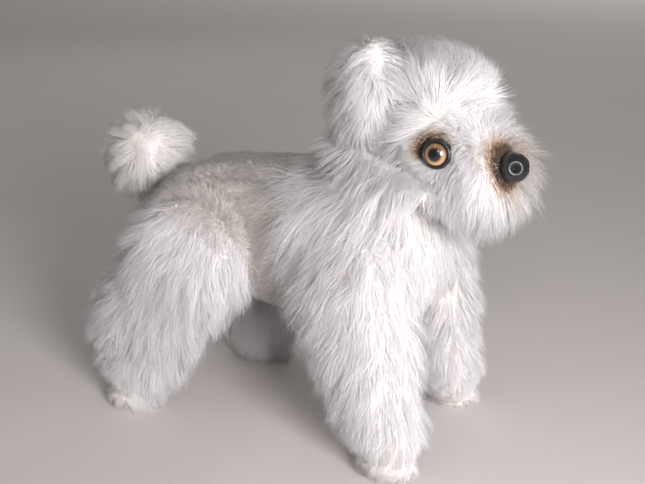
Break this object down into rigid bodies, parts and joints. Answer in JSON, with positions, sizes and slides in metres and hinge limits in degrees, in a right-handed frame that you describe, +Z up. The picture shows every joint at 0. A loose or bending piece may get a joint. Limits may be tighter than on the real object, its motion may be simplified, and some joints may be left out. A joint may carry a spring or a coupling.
{
  "type": "plush dog",
  "caption": "Standing jointed plush dog with long and short white fur, a swivelling head, swinging legs, a bendable bob tail, glass eyes and a moulded nose.",
  "frame": {"origin": "on the floor, at the centre of the dog's overall box seen from above", "axes": "+X forward to the nose, +Y to the dog's left, +Z up"},
  "size_m": [0.2189, 0.1136, 0.1838],
  "materials": {
    "long_fur": "long white mohair-like pile, brushed into tufts",
    "short_fur": "short cream-white pile, clipped",
    "stuffing": "white fibre filling",
    "hardboard": "plain pressed hardboard",
    "steel": "zinc plated",
    "eye_glass": "polished amber glass with a black pupil",
    "eye_rim": "thin black eyelid, satin",
    "nose_black": "satin black moulded nose"
  },
  "bodies": {
    "torso": {"chest_panel": "long_fur", "back_panel_left": "short_fur", "back_panel_right": "short_fur", "belly_gusset": "long_fur", "body_stuffing": "stuffing", "neck_body_disc": "hardboard", "shoulder_body_disc_left": "hardboard", "shoulder_body_disc_right": "hardboard", "hip_body_disc_left": "hardboard", "hip_body_disc_right": "hardboard"},
    "head": {"head_side_left": "long_fur", "head_side_right": "long_fur", "head_gusset": "long_fur", "muzzle": "long_fur", "topknot": "long_fur", "neck_ruff": "long_fur", "ear_left": "long_fur", "ear_right": "long_fur", "head_stuffing": "stuffing", "eye_left": "eye_glass", "eye_right": "eye_glass", "eye_rim_left": "eye_rim", "eye_rim_right": "eye_rim", "eye_washer_left": "steel", "eye_washer_right": "steel", "nose": "nose_black", "nose_washer": "steel", "neck_bolt": "steel", "neck_head_disc": "hardboard", "neck_lock_nut": "steel"},
    "tail": {"tail_skin": "short_fur", "tail_pom": "long_fur", "tail_stuffing": "stuffing", "tail_wire": "steel"},
    "foreleg_left": {"foreleg_skin_left": "long_fur", "foreleg_sole_left": "short_fur", "foreleg_stuffing_left": "stuffing", "shoulder_limb_disc_left": "hardboard", "shoulder_bolt_left": "steel", "shoulder_lock_nut_left": "steel"},
    "hindleg_left": {"hindleg_skin_left": "long_fur", "hindleg_sole_left": "short_fur", "hindleg_stuffing_left": "stuffing", "hip_limb_disc_left": "hardboard", "hip_bolt_left": "steel", "hip_lock_nut_left": "steel"},
    "foreleg_right": {"foreleg_skin_right": "long_fur", "foreleg_sole_right": "short_fur", "foreleg_stuffing_right": "stuffing", "shoulder_limb_disc_right": "hardboard", "shoulder_bolt_right": "steel", "shoulder_lock_nut_right": "steel"},
    "hindleg_right": {"hindleg_skin_right": "long_fur", "hindleg_sole_right": "short_fur", "hindleg_stuffing_right": "stuffing", "hip_limb_disc_right": "hardboard", "hip_bolt_right": "steel", "hip_lock_nut_right": "steel"}
  },
  "joints": [
    {"name": "neck_swivel", "type": "hinge", "parent": "torso", "child": "head", "pos_m": [0.053, 0, 0.122], "axis": [0.342, 0, 0.9397], "range_deg": [-63, 97]},
    {"name": "shoulder_left", "type": "hinge", "parent": "torso", "child": "foreleg_left", "pos_m": [0.04, 0.026, 0.084], "axis": [0, -1, 0], "range_deg": [-45, 75]},
    {"name": "shoulder_right", "type": "hinge", "parent": "torso", "child": "foreleg_right", "pos_m": [0.04, -0.026, 0.084], "axis": [0, -1, 0], "range_deg": [-45, 75]},
    {"name": "hip_left", "type": "hinge", "parent": "torso", "child": "hindleg_left", "pos_m": [-0.043, 0.026, 0.084], "axis": [0, -1, 0], "range_deg": [-75, 45]},
    {"name": "hip_right", "type": "hinge", "parent": "torso", "child": "hindleg_right", "pos_m": [-0.043, -0.026, 0.084], "axis": [0, -1, 0], "range_deg": [-75, 45]},
    {"name": "tail_bend", "type": "hinge", "parent": "torso", "child": "tail", "pos_m": [-0.07272, 0, 0.10445], "axis": [0, 1, 0], "range_deg": [-30, 30]}
  ]
}
